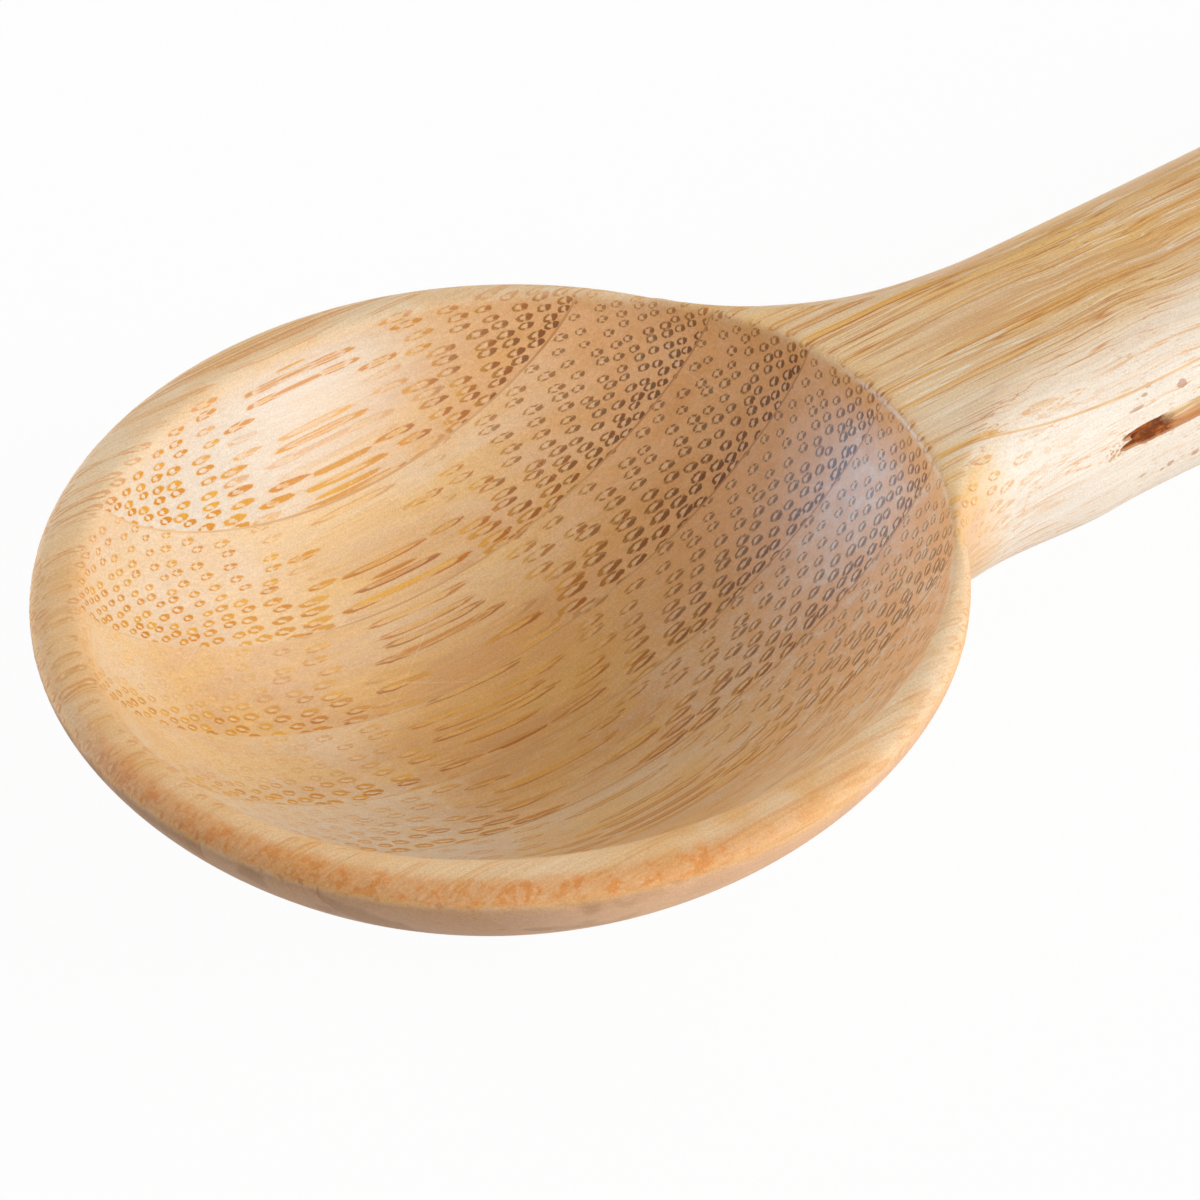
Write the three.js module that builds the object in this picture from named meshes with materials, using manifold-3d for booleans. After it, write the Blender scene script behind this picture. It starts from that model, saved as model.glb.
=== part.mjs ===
// A coffee scoop carved from a board of vertically laminated bamboo.
// Millimetres, +Z up. +X runs along the grain and the handle, +Y to the far side.
// The origin lies on the flat foot, straight below the middle of the hollow.

import * as THREE from 'three';
import { mergeVertices } from 'three/addons/utils/BufferGeometryUtils.js';
import Module from 'manifold-3d';

const wasm = await Module();
wasm.setup();

// Board: strips of bamboo stand on edge and are glued face to face
const STRIP_THICKNESS = 7;
const GLUE_THICKNESS = 0.12;
const GLUE_PLANE_OFFSET = 5.1;

// Bowl: an oval hollow inside a thin wall
const BOWL_LENGTH = 56.4;
const BOWL_WIDTH = 51;
const BOWL_DEPTH = 15.5;
const FLOOR_THICKNESS = 3.5;
const HOLLOW_ROUNDNESS = 2.05;
const HOLLOW_FULLNESS = 0.765;
const TIP_RIM = 3.1;
const SIDE_RIM = 3.45;
const NECK_RIM = 0.25;
const INNER_EDGE_RADIUS = 0.5;
const OUTER_EDGE_RADIUS = 0.7;
const WALL_ROUNDNESS = 1.45;
const WALL_FULLNESS = 0.725;
const FOOT_WIDTH = 12;

// Handle: its top is flush with the rim, its sides swell below the top edge
const HANDLE_REACH = 119;
const NECK_X = 46;
const NECK_TOP_WIDTH = 11;
const NECK_WIDTH = 21.4;
const NECK_THICKNESS = 15.2;
const SWELL_X = 98;
const SWELL_TOP_WIDTH = 9;
const SWELL_WIDTH = 23.6;
const HEEL_TRIM = 0.5;
const END_ROUNDING = 15;
const WIDEST_SHARE = 0.48;
const ROOT_WIDEST_SHARE = 0.12;
const SHOULDER_FULLNESS = 1.6;
const BELLY_FULLNESS = 2.7;
const ROOT_TONGUE = 13;
const ROOT_RUN = 21;

// Groove: a natural hollow along the grain in the near side of the handle
const GROOVE_START = 42.3;
const GROOVE_LENGTH = 34;
const GROOVE_WIDTH = 1.3;
const GROOVE_BELOW_RIM = 5.55;
const GROOVE_DEPTH = 1.4;

// Facets
const BOWL_SEGMENTS = 64;
const WALL_STEPS = 12;
const EDGE_STEPS = 3;
const SHOULDER_STEPS = 5;
const BELLY_STEPS = 7;
const TONGUE_STEPS = 5;
const FLARE_STEPS = 8;
const SHAFT_STEPS = 8;
const END_STEPS = 7;
const GROOVE_STEPS = 6;

const BAMBOO_COLOURS = ['#d9ad74', '#dfb57e', '#d6a96f', '#dcb27a', '#d3a56b'];
const GLUE_COLOUR = '#9c6a38';

const boardThickness = BOWL_DEPTH + FLOOR_THICKNESS;
const halfLength = BOWL_LENGTH / 2;
const halfWidth = BOWL_WIDTH / 2;
const outerHalfLength = halfLength + (TIP_RIM + NECK_RIM) / 2;
const outerHalfWidth = halfWidth + SIDE_RIM;
const outerCentreX = (NECK_RIM - TIP_RIM) / 2;
const tipX = outerCentreX - outerHalfLength;

function smooth(t) {
  const s = THREE.MathUtils.clamp(t, 0, 1);
  return s * s * (3 - 2 * s);
}

function solidOf(geometry) {
  const bare = geometry.clone();
  bare.deleteAttribute('normal');
  bare.deleteAttribute('uv');
  const merged = mergeVertices(bare, 1e-4);
  const corners = merged.index.array;
  const kept = [];
  for (let i = 0; i < corners.length; i += 3) {
    const [a, b, c] = [corners[i], corners[i + 1], corners[i + 2]];
    if (a !== b && b !== c && c !== a) kept.push(a, b, c);
  }
  return new wasm.Manifold(new wasm.Mesh({
    numProp: 3,
    vertProperties: new Float32Array(merged.attributes.position.array),
    triVerts: new Uint32Array(kept),
  }));
}

function geometryOf(solid) {
  const mesh = solid.getMesh();
  const geometry = new THREE.BufferGeometry();
  geometry.setAttribute('position', new THREE.BufferAttribute(mesh.vertProperties, 3));
  geometry.setIndex(new THREE.BufferAttribute(mesh.triVerts, 1));
  geometry.computeVertexNormals();
  return geometry;
}

// A round solid about Z from a profile of (radius, height) points, drawn out to an oval
function ovalLathe(profile, semiX, semiY, centreX) {
  const geometry = new THREE.LatheGeometry(profile, BOWL_SEGMENTS);
  geometry.rotateX(Math.PI / 2);
  geometry.scale(semiX, semiY, 1);
  geometry.translate(centreX, 0, 0);
  return solidOf(geometry);
}

// The outer bowl, from the middle of the foot up to the rounded rim edge and back to the axis
function bowlBlank() {
  const foot = FOOT_WIDTH / 2 / outerHalfWidth;
  const edge = OUTER_EDGE_RADIUS / outerHalfWidth;
  const wallTop = boardThickness - OUTER_EDGE_RADIUS;
  const profile = [new THREE.Vector2(0, 0)];
  for (let i = 0; i <= WALL_STEPS; i += 1) {
    const share = Math.sin((i / WALL_STEPS) * Math.PI / 2);
    const depth = Math.pow(1 - Math.pow(share, WALL_ROUNDNESS), WALL_FULLNESS);
    profile.push(new THREE.Vector2(foot + (1 - foot) * share, wallTop * (1 - depth)));
  }
  for (let i = 1; i <= EDGE_STEPS; i += 1) {
    const turn = (i / EDGE_STEPS) * Math.PI / 2;
    const inward = edge * (1 - Math.cos(turn));
    profile.push(new THREE.Vector2(1 - inward, wallTop + OUTER_EDGE_RADIUS * Math.sin(turn)));
  }
  profile.push(new THREE.Vector2(0, boardThickness));
  return ovalLathe(profile, outerHalfLength, outerHalfWidth, outerCentreX);
}

// The hollow, from its lowest point up its wall, out over the rounded inner edge and past the rim
function bowlHollow() {
  const edge = INNER_EDGE_RADIUS / halfWidth;
  const edgeBase = boardThickness - INNER_EDGE_RADIUS;
  const depth = BOWL_DEPTH - INNER_EDGE_RADIUS;
  const profile = [];
  for (let i = 0; i <= WALL_STEPS; i += 1) {
    const share = Math.sin((i / WALL_STEPS) * Math.PI / 2);
    const sink = depth * Math.pow(1 - Math.pow(share, HOLLOW_ROUNDNESS), HOLLOW_FULLNESS);
    profile.push(new THREE.Vector2(share, edgeBase - sink));
  }
  for (let i = 1; i < EDGE_STEPS; i += 1) {
    const turn = (i / EDGE_STEPS) * Math.PI / 2;
    const rise = INNER_EDGE_RADIUS * Math.sin(turn);
    profile.push(new THREE.Vector2(1 + edge * (1 - Math.cos(turn)), edgeBase + rise));
  }
  const clear = boardThickness + INNER_EDGE_RADIUS;
  profile.push(new THREE.Vector2(1 + edge, boardThickness));
  profile.push(new THREE.Vector2(1 + edge, clear));
  profile.push(new THREE.Vector2(0, clear));
  return ovalLathe(profile, halfLength, halfWidth, 0);
}

// The flare of the neck is an arc that touches the rim's outline and the straight top edge at the neck
const neckTop = NECK_TOP_WIDTH / 2;
const neckReach = NECK_X - outerCentreX;
const flareRadius = (neckReach ** 2 + neckTop ** 2 - outerHalfLength ** 2) / (2 * (outerHalfLength - neckTop));
const flareStartX = NECK_X - flareRadius * neckReach / (outerHalfLength + flareRadius);

// Sizes of the handle's section at one place along X, below the rim plane
function handleSection(x) {
  const shaft = smooth((x - NECK_X) / (SWELL_X - NECK_X));
  const flare = Math.max(0, NECK_X - Math.max(x, flareStartX));
  const flareOut = flareRadius - Math.sqrt(flareRadius ** 2 - flare ** 2);
  const root = smooth((x - flareStartX) / ROOT_RUN);
  const top = THREE.MathUtils.lerp(NECK_TOP_WIDTH, SWELL_TOP_WIDTH, shaft) / 2 + flareOut;
  const swell = THREE.MathUtils.lerp(NECK_WIDTH - NECK_TOP_WIDTH, SWELL_WIDTH - SWELL_TOP_WIDTH, shaft) / 2;
  const keel = THREE.MathUtils.lerp(NECK_THICKNESS, boardThickness + HEEL_TRIM, shaft);
  const widest = keel * THREE.MathUtils.lerp(ROOT_WIDEST_SHARE, WIDEST_SHARE, root);
  const tongue = Math.min(1, (flareStartX - Math.min(x, flareStartX)) / ROOT_TONGUE);
  const narrowing = Math.sqrt(1 - tongue ** 2);
  const pastSwell = Math.max(0, x - (HANDLE_REACH - END_ROUNDING)) / END_ROUNDING;
  const closing = Math.sqrt(Math.max(0, 1 - Math.min(1, pastSwell) ** 2));
  return {
    top: top * narrowing * closing,
    side: (top + swell * root) * narrowing * closing,
    widest,
    keel,
    closing,
  };
}

// One ring of the handle, clockwise seen from the handle's end
function handleRing(x) {
  const { top, side, widest, keel, closing } = handleSection(x);
  const far = [];
  for (let i = 0; i <= SHOULDER_STEPS; i += 1) {
    const turn = (i / SHOULDER_STEPS) * Math.PI / 2;
    const out = Math.pow(Math.sin(turn), 2 / SHOULDER_FULLNESS);
    const up = Math.pow(Math.cos(turn), 2 / SHOULDER_FULLNESS);
    far.push([top + (side - top) * out, widest * (1 - closing * up)]);
  }
  for (let i = 1; i <= BELLY_STEPS; i += 1) {
    const turn = (i / BELLY_STEPS) * Math.PI / 2;
    const out = Math.pow(Math.cos(turn), 2 / BELLY_FULLNESS);
    const down = Math.pow(Math.sin(turn), 2 / BELLY_FULLNESS);
    far.push([side * out, widest + (keel - widest) * closing * down]);
  }
  const near = far.slice(0, -1).reverse().map(([y, depth]) => [-y, depth]);
  return [...far, ...near].map(([y, depth]) => new THREE.Vector3(x, y, boardThickness - depth));
}

// A closed skin through rings of equal length, with a fan over each end
function loft(rings) {
  const count = rings[0].length;
  const points = rings.flat();
  const faces = [];
  for (let r = 0; r + 1 < rings.length; r += 1) {
    for (let i = 0; i < count; i += 1) {
      const next = (i + 1) % count;
      const [a, b, c, d] = [r * count + i, r * count + next, (r + 1) * count + next, (r + 1) * count + i];
      faces.push(a, c, b, a, d, c);
    }
  }
  const last = (rings.length - 1) * count;
  for (let i = 1; i + 1 < count; i += 1) {
    faces.push(0, i, i + 1);
    faces.push(last, last + i + 1, last + i);
  }
  const geometry = new THREE.BufferGeometry().setFromPoints(points);
  geometry.setIndex(faces);
  return geometry;
}

function handleBlank() {
  const stations = [];
  for (let i = 0; i < TONGUE_STEPS; i += 1) {
    stations.push(flareStartX - ROOT_TONGUE * Math.cos((i / TONGUE_STEPS) * Math.PI / 2));
  }
  for (let i = 0; i < FLARE_STEPS; i += 1) {
    stations.push(THREE.MathUtils.lerp(flareStartX, NECK_X, i / FLARE_STEPS));
  }
  const endStart = HANDLE_REACH - END_ROUNDING;
  for (let i = 0; i < SHAFT_STEPS; i += 1) {
    stations.push(THREE.MathUtils.lerp(NECK_X, endStart, i / SHAFT_STEPS));
  }
  for (let i = 0; i <= END_STEPS; i += 1) {
    stations.push(endStart + END_ROUNDING * Math.sin((i / END_STEPS) * Math.PI / 2));
  }
  return solidOf(loft(stations.map(handleRing)));
}

function grooveCut() {
  const floorY = GROOVE_DEPTH - NECK_WIDTH / 2;
  const depth = Math.max(NECK_WIDTH, SWELL_WIDTH);
  const outline = new THREE.Shape();
  const round = GROOVE_WIDTH / 2;
  outline.absarc(GROOVE_START + GROOVE_LENGTH - round, 0, round, -Math.PI / 2, Math.PI / 2);
  outline.absarc(GROOVE_START + round, 0, round, Math.PI / 2, 3 * Math.PI / 2);
  const geometry = new THREE.ExtrudeGeometry(outline, { depth, bevelEnabled: false, curveSegments: GROOVE_STEPS });
  geometry.rotateX(Math.PI / 2);
  geometry.translate(0, floorY, boardThickness - GROOVE_BELOW_RIM);
  return solidOf(geometry);
}

// A slab of the board between two planes across the strips
function slab(nearY, farY) {
  const length = HANDLE_REACH - tipX;
  const geometry = new THREE.BoxGeometry(2 * length, farY - nearY, boardThickness);
  geometry.translate(0, (nearY + farY) / 2, boardThickness / 2);
  return solidOf(geometry);
}

const scoop = new THREE.Group();
const carved = bowlBlank().add(handleBlank()).subtract(bowlHollow()).subtract(grooveCut());

function addPiece(name, nearY, farY, material) {
  const bodies = carved.intersect(slab(nearY, farY)).decompose();
  bodies.sort((a, b) => b.volume() - a.volume());
  bodies.forEach((body, i) => {
    const mesh = new THREE.Mesh(geometryOf(body), material);
    mesh.name = i === 0 ? name : `${name}_part_${i + 1}`;
    scoop.add(mesh);
  });
}

function bambooMaterial(number) {
  const color = BAMBOO_COLOURS[number % BAMBOO_COLOURS.length];
  return new THREE.MeshStandardMaterial({ color, roughness: 0.55, metalness: 0 });
}

// Glue planes from the far side of the rim to the near side
const planes = [];
const farthest = Math.floor((outerHalfWidth - GLUE_PLANE_OFFSET) / STRIP_THICKNESS);
for (let y = GLUE_PLANE_OFFSET + farthest * STRIP_THICKNESS; y > -outerHalfWidth; y -= STRIP_THICKNESS) {
  planes.push(y);
}

const half = GLUE_THICKNESS / 2;
for (let i = 0; i <= planes.length; i += 1) {
  const farY = i === 0 ? 2 * outerHalfWidth : planes[i - 1] - half;
  const nearY = i === planes.length ? -2 * outerHalfWidth : planes[i] + half;
  addPiece(`bamboo_strip_${i + 1}`, nearY, farY, bambooMaterial(i));
}

const glue = new THREE.MeshStandardMaterial({ color: GLUE_COLOUR, roughness: 0.6, metalness: 0 });
planes.forEach((y, i) => addPiece(`glue_line_${i + 1}_${i + 2}`, y - half, y + half, glue));

export default scoop;
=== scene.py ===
"""A coffee scoop carved from laminated bamboo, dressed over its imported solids."""
import math

import bmesh
import bpy
from mathutils import Matrix, Vector, noise


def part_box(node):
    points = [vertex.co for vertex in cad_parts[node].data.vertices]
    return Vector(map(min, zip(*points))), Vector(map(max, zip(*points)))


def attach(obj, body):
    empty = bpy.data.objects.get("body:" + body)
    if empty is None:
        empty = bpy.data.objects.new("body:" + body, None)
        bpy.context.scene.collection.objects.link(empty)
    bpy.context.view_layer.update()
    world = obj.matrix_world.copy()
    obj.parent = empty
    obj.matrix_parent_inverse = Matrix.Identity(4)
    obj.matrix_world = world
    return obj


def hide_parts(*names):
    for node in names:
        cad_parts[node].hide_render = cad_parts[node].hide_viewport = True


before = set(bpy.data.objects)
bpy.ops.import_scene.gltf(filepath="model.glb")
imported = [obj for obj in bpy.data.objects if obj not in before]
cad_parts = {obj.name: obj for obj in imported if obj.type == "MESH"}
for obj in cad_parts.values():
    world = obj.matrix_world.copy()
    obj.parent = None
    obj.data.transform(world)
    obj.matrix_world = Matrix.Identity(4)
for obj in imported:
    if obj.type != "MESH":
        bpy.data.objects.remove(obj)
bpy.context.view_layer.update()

MM = 0.001
FULL_TURN = 2 * math.pi
QUARTER_TURN = math.pi / 2

# Carved form in millimetres, with the same driving sizes as the solids
BOARD_THICKNESS = 19
HALF_LENGTH = 28.2
HALF_WIDTH = 25.5
BOWL_DEPTH = 15.5
HOLLOW_ROUNDNESS = 2.05
HOLLOW_FULLNESS = 0.765
TIP_RIM = 3.1
SIDE_RIM = 3.45
NECK_RIM = 0.25
INNER_EDGE_RADIUS = 0.45
OUTER_EDGE_RADIUS = 1.2
OUTER_EDGE_RUN = 1.9
RIM_EASE = 1.7
RIM_EASE_SHARE = 0.982
RIM_EASE_CLEAR = 1.0
WALL_ROUNDNESS = 1.45
WALL_FULLNESS = 0.725
FOOT_WIDTH = 12
HANDLE_REACH = 119
NECK_X = 46
NECK_TOP_WIDTH = 11
NECK_WIDTH = 21.4
NECK_THICKNESS = 15.2
SWELL_X = 98
SWELL_TOP_WIDTH = 9
SWELL_WIDTH = 23.6
HEEL_TRIM = 0.5
END_ROUNDING = 15
WIDEST_SHARE = 0.48
ROOT_WIDEST_SHARE = 0.12
SHOULDER_FULLNESS = 1.85
BELLY_FULLNESS = 2.7
SHOULDER_EASE = 2.0
ROOT_BELLY_FULLNESS = 1.35
ROOT_CORNER_RUN = 8.5
ROOT_CORNER_TRIM = 0.9
ROOT_TONGUE = 13
ROOT_RUN = 21
GROOVE_START = 42.3
GROOVE_LENGTH = 34
GROOVE_WIDTH = 1.3
GROOVE_BELOW_RIM = 5.55
GROOVE_DEPTH = 1.4
STRIP_THICKNESS = 7

OUTER_HALF_LENGTH = HALF_LENGTH + (TIP_RIM + NECK_RIM) / 2
OUTER_HALF_WIDTH = HALF_WIDTH + SIDE_RIM
OUTER_CENTRE_X = (NECK_RIM - TIP_RIM) / 2
NECK_TOP = NECK_TOP_WIDTH / 2
NECK_RUN = NECK_X - OUTER_CENTRE_X
FLARE_REACH = NECK_RUN ** 2 + NECK_TOP ** 2 - OUTER_HALF_LENGTH ** 2
FLARE_RADIUS = FLARE_REACH / (2 * (OUTER_HALF_LENGTH - NECK_TOP))
FLARE_START_X = NECK_X - FLARE_RADIUS * NECK_RUN / (OUTER_HALF_LENGTH + FLARE_RADIUS)
GROOVE_Z = BOARD_THICKNESS - GROOVE_BELOW_RIM
GROOVE_FLOOR_Y = GROOVE_DEPTH - NECK_WIDTH / 2
GROOVE_SURFACE_Y = -10.36
GROOVE_SURFACE_TILT = 0.31
GROOVE_END_POINT = 2
TAIL_START = 1e-6
RAGGED_SEED = 7
RAGGED_FINENESS = 1.7
RAGGED_DEPTH = 0.07

# Mesh fineness
SPIN_STEPS = 160
WALL_STEPS = 40
EDGE_STEPS = 6
SHOULDER_STEPS = 12
BELLY_STEPS = 16
HOLLOW_STEPS = 32
STATION_GAP = 1.0
VOXEL = 0.3
SANDING_PASSES = 14
SANDING_STRENGTH = 0.5
MERGE_DISTANCE = 1e-4

# Camera, in millimetres and degrees
CAMERA_PLACE = (-106.87, -144.28, 176.39)
CAMERA_AIM = (1.07, -6.76, 19.0)
CAMERA_ROLL = 1.26
CAMERA_LENS = 114
SENSOR_WIDTH = 36


def smooth(t):
    s = min(1.0, max(0.0, t))
    return s * s * (3 - 2 * s)


def lerp(a, b, t):
    return a + (b - a) * t


def new_piece(name, mesh):
    piece = bpy.data.objects.new(name, mesh)
    bpy.context.scene.collection.objects.link(piece)
    return piece


def piece_from(name, bm):
    bmesh.ops.recalc_face_normals(bm, faces=bm.faces)
    mesh = bpy.data.meshes.new(name)
    bm.to_mesh(mesh)
    bm.free()
    return new_piece(name, mesh)


# Bowl and hollow

def outer_profile():
    """The outside of the bowl from the foot to the rim, as shares of the radius and heights."""
    foot = FOOT_WIDTH / 2 / OUTER_HALF_WIDTH
    edge = OUTER_EDGE_RUN / OUTER_HALF_WIDTH
    wall_top = BOARD_THICKNESS - OUTER_EDGE_RADIUS
    profile = [(0, 0)]
    for i in range(WALL_STEPS + 1):
        share = math.sin(i / WALL_STEPS * QUARTER_TURN)
        depth = (1 - share ** WALL_ROUNDNESS) ** WALL_FULLNESS
        profile.append((foot + (1 - foot) * share, wall_top * (1 - depth)))
    for i in range(1, EDGE_STEPS + 1):
        turn = i / EDGE_STEPS * QUARTER_TURN
        profile.append((1 - edge * (1 - math.cos(turn)), wall_top + OUTER_EDGE_RADIUS * math.sin(turn)))
    profile.append((0, BOARD_THICKNESS))
    return profile


def hollow_profile():
    """The hollow from its lowest point, out over the rounded inner edge and past the rim."""
    edge = INNER_EDGE_RADIUS / HALF_WIDTH
    edge_base = BOARD_THICKNESS - INNER_EDGE_RADIUS
    depth = BOWL_DEPTH - INNER_EDGE_RADIUS
    clear = BOARD_THICKNESS + INNER_EDGE_RADIUS
    profile = []
    for i in range(WALL_STEPS + 1):
        share = math.sin(i / WALL_STEPS * QUARTER_TURN)
        profile.append((share, edge_base - depth * (1 - share ** HOLLOW_ROUNDNESS) ** HOLLOW_FULLNESS))
    for i in range(1, EDGE_STEPS):
        turn = i / EDGE_STEPS * QUARTER_TURN
        profile.append((1 + edge * (1 - math.cos(turn)), edge_base + INNER_EDGE_RADIUS * math.sin(turn)))
    profile.append((1 + edge, clear))
    profile.append((0, clear))
    return profile


def ease_profile():
    """A disc with a flared edge that rounds the rim's inner edge."""
    flare = RIM_EASE / HALF_WIDTH
    base = BOARD_THICKNESS - RIM_EASE
    profile = [(0, base)]
    for i in range(EDGE_STEPS + 1):
        turn = i / EDGE_STEPS * QUARTER_TURN
        profile.append((1 + flare * (1 - math.cos(turn)), base + RIM_EASE * math.sin(turn)))
    profile.append((1 + flare, BOARD_THICKNESS + RIM_EASE))
    profile.append((0, BOARD_THICKNESS + RIM_EASE))
    return profile


def oval_lathe(name, profile, half_length, half_width, centre_x):
    bm = bmesh.new()
    points = [bm.verts.new((radius, 0, z)) for radius, z in profile]
    line = [bm.edges.new(pair) for pair in zip(points, points[1:])]
    bmesh.ops.spin(bm, geom=points + line, cent=(0, 0, 0), axis=(0, 0, 1), angle=FULL_TURN,
                   steps=SPIN_STEPS, use_merge=True)
    bmesh.ops.remove_doubles(bm, verts=bm.verts, dist=MERGE_DISTANCE)
    bmesh.ops.scale(bm, vec=(half_length, half_width, 1), verts=bm.verts)
    bmesh.ops.translate(bm, vec=(centre_x, 0, 0), verts=bm.verts)
    return piece_from(name, bm)


# Handle

def handle_section(x):
    """Half widths, depths, end rounding and belly of the handle at one place along the grain."""
    shaft = smooth((x - NECK_X) / (SWELL_X - NECK_X))
    flare = max(0, NECK_X - max(x, FLARE_START_X))
    flare_out = FLARE_RADIUS - math.sqrt(FLARE_RADIUS ** 2 - flare ** 2)
    root = smooth((x - FLARE_START_X) / ROOT_RUN)
    corner = smooth((x - FLARE_START_X) / ROOT_CORNER_RUN)
    top = lerp(NECK_TOP_WIDTH, SWELL_TOP_WIDTH, shaft) / 2 + flare_out
    flat = top - lerp(SHOULDER_EASE, 0, shaft)
    trim = lerp(ROOT_CORNER_TRIM, 0, corner)
    belly = lerp(ROOT_BELLY_FULLNESS, BELLY_FULLNESS, corner)
    swell = lerp(NECK_WIDTH - NECK_TOP_WIDTH, SWELL_WIDTH - SWELL_TOP_WIDTH, shaft) / 2
    keel = lerp(NECK_THICKNESS, BOARD_THICKNESS + HEEL_TRIM, shaft)
    widest = keel * lerp(ROOT_WIDEST_SHARE, WIDEST_SHARE, root)
    tongue = (FLARE_START_X - min(x, FLARE_START_X)) / ROOT_TONGUE
    past_swell = max(0, x - (HANDLE_REACH - END_ROUNDING)) / END_ROUNDING
    narrowing = math.sqrt(1 - tongue ** 2)
    closing = math.sqrt(1 - past_swell ** 2)
    side = (top + swell * root - trim) * narrowing * closing
    return flat * narrowing * closing, side, widest, keel, closing, belly


def handle_ring(x):
    """One loop of points round the handle, from the far top edge down and round to the near one."""
    flat, side, widest, keel, closing, belly = handle_section(x)
    far = []
    for i in range(SHOULDER_STEPS + 1):
        turn = i / SHOULDER_STEPS * QUARTER_TURN
        out = math.sin(turn) ** (2 / SHOULDER_FULLNESS)
        up = max(0, math.cos(turn)) ** (2 / SHOULDER_FULLNESS)
        far.append((lerp(flat, side, out), widest * (1 - closing * up)))
    for i in range(1, BELLY_STEPS + 1):
        turn = i / BELLY_STEPS * QUARTER_TURN
        out = max(0, math.cos(turn)) ** (2 / belly)
        down = math.sin(turn) ** (2 / belly)
        far.append((side * out, widest + (keel - widest) * closing * down))
    near = [(-y, depth) for y, depth in reversed(far[:-1])]
    return [(x, y, BOARD_THICKNESS - depth) for y, depth in far + near]


def handle_stations():
    """Places along the grain, closer together where the tongue and the end close."""
    first = FLARE_START_X - ROOT_TONGUE
    last = HANDLE_REACH
    count = round((last - first) / STATION_GAP)
    places = [lerp(first, last, i / count) for i in range(1, count)]
    ends = [STATION_GAP / 2 ** step for step in range(1, 6)]
    return sorted(places + [first + gap for gap in ends] + [last - gap for gap in ends])


def handle_blank():
    bm = bmesh.new()
    loops = []
    for x in handle_stations():
        ring = [bm.verts.new(point) for point in handle_ring(x)]
        loops.append([bm.edges.new(pair) for pair in zip(ring, ring[1:] + ring[:1])])
    for first, second in zip(loops, loops[1:]):
        bmesh.ops.bridge_loops(bm, edges=first + second)
    bmesh.ops.edgeloop_fill(bm, edges=loops[0] + loops[-1])
    bmesh.ops.recalc_face_normals(bm, faces=bm.faces)
    cut_away(bm, (0, 0, 0), (0, 0, -1))
    return piece_from("handle_blank", bm)


def cut_away(bm, point, outward):
    """Saws the mesh along a plane, drops what lies outward of it and closes the cut with flat faces."""
    everything = bm.verts[:] + bm.edges[:] + bm.faces[:]
    sawn = bmesh.ops.bisect_plane(bm, geom=everything, plane_co=point, plane_no=outward, clear_outer=True)
    rim = [item for item in sawn["geom_cut"] if isinstance(item, bmesh.types.BMEdge)]
    if rim:
        for edge in rim:
            edge.smooth = False
        bmesh.ops.edgeloop_fill(bm, edges=rim)


# Carving and sanding

def add_cut(piece, tool, operation, overlapping=False):
    cut = piece.modifiers.new(tool.name, "BOOLEAN")
    cut.object = tool
    cut.operation = operation
    cut.solver = "EXACT"
    cut.use_self = overlapping


def finished_mesh(piece, *tools):
    """The piece's mesh with its modifiers applied; the piece and its tools are put away."""
    evaluated = piece.evaluated_get(bpy.context.evaluated_depsgraph_get())
    mesh = bpy.data.meshes.new_from_object(evaluated)
    for used in (piece, *tools):
        bpy.data.meshes.remove(used.data)
    return mesh


def carved_scoop():
    """Bowl and handle as one sanded form, with soft edges and a soft root where they meet."""
    bowl = oval_lathe("bowl_blank", outer_profile(), OUTER_HALF_LENGTH, OUTER_HALF_WIDTH, OUTER_CENTRE_X)
    handle = handle_blank()
    hollow = oval_lathe("hollow", hollow_profile(), HALF_LENGTH, HALF_WIDTH, 0)
    ease_length = HALF_LENGTH * RIM_EASE_SHARE - RIM_EASE_CLEAR / 2
    ease_width = HALF_WIDTH * RIM_EASE_SHARE
    ease = oval_lathe("rim_ease", ease_profile(), ease_length, ease_width, -RIM_EASE_CLEAR / 2)
    add_cut(bowl, handle, "UNION")
    add_cut(bowl, hollow, "DIFFERENCE")
    add_cut(bowl, ease, "DIFFERENCE")
    skin = bowl.modifiers.new("even_skin", "REMESH")
    skin.mode = "VOXEL"
    skin.voxel_size = VOXEL
    sanding = bowl.modifiers.new("sanding", "SMOOTH")
    sanding.factor = SANDING_STRENGTH
    sanding.iterations = SANDING_PASSES
    return finished_mesh(bowl, handle, hollow, ease)


def slice_of(scoop, name, near_y, far_y):
    """The part of the scoop between two planes across the strips, as a closed piece in millimetres."""
    bm = bmesh.new()
    bm.from_mesh(scoop)
    for face in bm.faces:
        face.smooth = True
    cut_away(bm, (0, near_y, 0), (0, -1, 0))
    cut_away(bm, (0, far_y, 0), (0, 1, 0))
    return piece_from(name, bm)


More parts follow.
